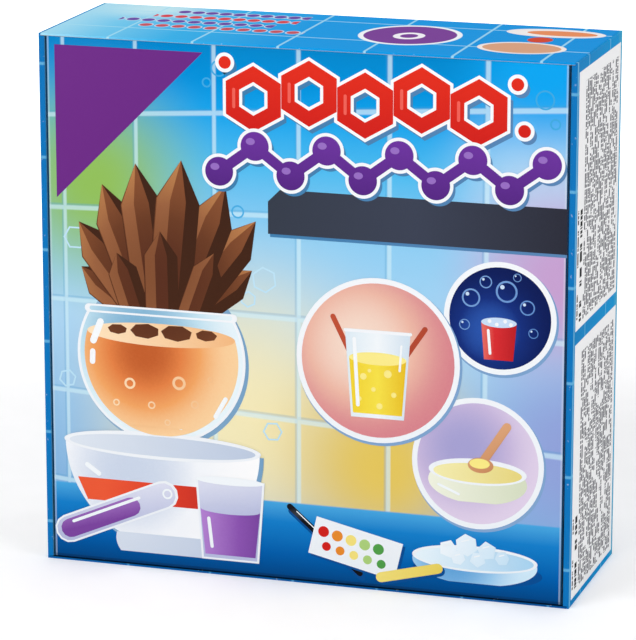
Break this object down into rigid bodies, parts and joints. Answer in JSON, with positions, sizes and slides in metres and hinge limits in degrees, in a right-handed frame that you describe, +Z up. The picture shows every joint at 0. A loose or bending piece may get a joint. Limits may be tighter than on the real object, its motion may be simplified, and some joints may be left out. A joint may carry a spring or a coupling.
{
  "type": "chemistry set case",
  "caption": "Upright folded board case with a front lid, tuck and dust flaps, holding foam inserts with test tubes, beaker, jars, syringe, tweezers and other bench tools.",
  "frame": {"origin": "centre of the face that the case stands on", "axes": "+Z up the printed front, +Y from the lid to the back panel, +X to the right seen from the front"},
  "size_m": [0.262, 0.09, 0.26],
  "materials": {
    "printed_board": "gloss-coated printed micro-flute board",
    "tray_foam": "moulded expanded polystyrene, fine-beaded",
    "paper": "coated paper, stapled",
    "card": "printed card",
    "indicator_paper": "indicator paper",
    "clear_plastic": "clear moulded polystyrene",
    "lens_plastic": "clear acrylic",
    "natural_plastic": "natural polyethylene",
    "stopper_plastic": "soft coloured stopper",
    "cap_plastic": "moulded polypropylene",
    "plunger_plastic": "moulded polypropylene",
    "seal_rubber": "black rubber",
    "tweezers_plastic": "black moulded plastic",
    "magnifier_plastic": "violet moulded plastic",
    "spoon_plastic": "white moulded plastic"
  },
  "bodies": {
    "case": {"back_panel": "printed_board", "top_wall": "printed_board", "bottom_wall": "printed_board", "left_side_wall": "printed_board", "right_side_wall": "printed_board", "corner_flaps": "printed_board", "upper_insert": "tray_foam", "lower_insert": "tray_foam", "instruction_booklet": "paper", "ph_chart": "card", "ph_strips": "indicator_paper", "test_tube_1": "clear_plastic", "test_tube_2": "clear_plastic", "beaker": "clear_plastic", "syringe_barrel": "clear_plastic", "powder_jar_1": "clear_plastic", "powder_jar_2": "clear_plastic", "powder_jar_3": "clear_plastic", "magnifier_lens": "lens_plastic", "pipette": "natural_plastic", "tweezers_heel": "tweezers_plastic", "magnifier_frame": "magnifier_plastic", "measuring_spoon": "spoon_plastic"},
    "lid": {"front_lid": "printed_board"},
    "tuck": {"tuck_flap": "printed_board"},
    "left_dust": {"left_dust_flap": "printed_board"},
    "right_dust": {"right_dust_flap": "printed_board"},
    "stopper_1": {"tube_stopper_1": "stopper_plastic"},
    "stopper_2": {"tube_stopper_2": "stopper_plastic"},
    "cap_1": {"jar_cap_1": "cap_plastic"},
    "cap_2": {"jar_cap_2": "cap_plastic"},
    "cap_3": {"jar_cap_3": "cap_plastic"},
    "plunger": {"syringe_plunger": "plunger_plastic", "plunger_seal": "seal_rubber"},
    "upper_arm": {"tweezers_upper_arm": "tweezers_plastic"},
    "lower_arm": {"tweezers_lower_arm": "tweezers_plastic"}
  },
  "joints": [
    {"name": "lid_crease", "type": "hinge", "parent": "case", "child": "lid", "pos_m": [0, -0.045, 0.259], "axis": [-1, 0, 0], "range_deg": [0, 170]},
    {"name": "tuck_crease", "type": "hinge", "parent": "lid", "child": "tuck", "pos_m": [0, -0.0438, 0.0024], "axis": [1, 0, 0], "range_deg": [0, 80]},
    {"name": "left_dust_crease", "type": "hinge", "parent": "lid", "child": "left_dust", "pos_m": [-0.1265, -0.0438, 0.13], "axis": [0, 0, -1], "range_deg": [0, 85]},
    {"name": "right_dust_crease", "type": "hinge", "parent": "lid", "child": "right_dust", "pos_m": [0.1265, -0.0438, 0.13], "axis": [0, 0, 1], "range_deg": [0, 85]},
    {"name": "stopper_1_pull", "type": "slide", "parent": "case", "child": "stopper_1", "axis": [1, 0, 0], "range_m": [0, 0.02]},
    {"name": "stopper_2_pull", "type": "slide", "parent": "case", "child": "stopper_2", "axis": [1, 0, 0], "range_m": [0, 0.02]},
    {"name": "cap_1_pull", "type": "slide", "parent": "case", "child": "cap_1", "axis": [0, -1, 0], "range_m": [0, 0.02]},
    {"name": "cap_2_pull", "type": "slide", "parent": "case", "child": "cap_2", "axis": [0, -1, 0], "range_m": [0, 0.02]},
    {"name": "cap_3_pull", "type": "slide", "parent": "case", "child": "cap_3", "axis": [0, -1, 0], "range_m": [0, 0.02]},
    {"name": "plunger_slide", "type": "slide", "parent": "case", "child": "plunger", "axis": [1, 0, 0], "range_m": [0, 0.045]},
    {"name": "upper_arm_squeeze", "type": "hinge", "parent": "case", "child": "upper_arm", "pos_m": [-0.1048, 0.0037, 0.09285], "axis": [0, 1, 0], "range_deg": [0, 2.25], "stiffness_Nm_per_rad": 0.5},
    {"name": "lower_arm_squeeze", "type": "hinge", "parent": "case", "child": "lower_arm", "pos_m": [-0.1048, 0.0037, 0.09115], "axis": [0, -1, 0], "range_deg": [0, 2.25], "stiffness_Nm_per_rad": 0.5}
  ],
  "couplings": [
    {"joint": "lower_arm_squeeze", "follows": "upper_arm_squeeze", "ratio": 1}
  ]
}
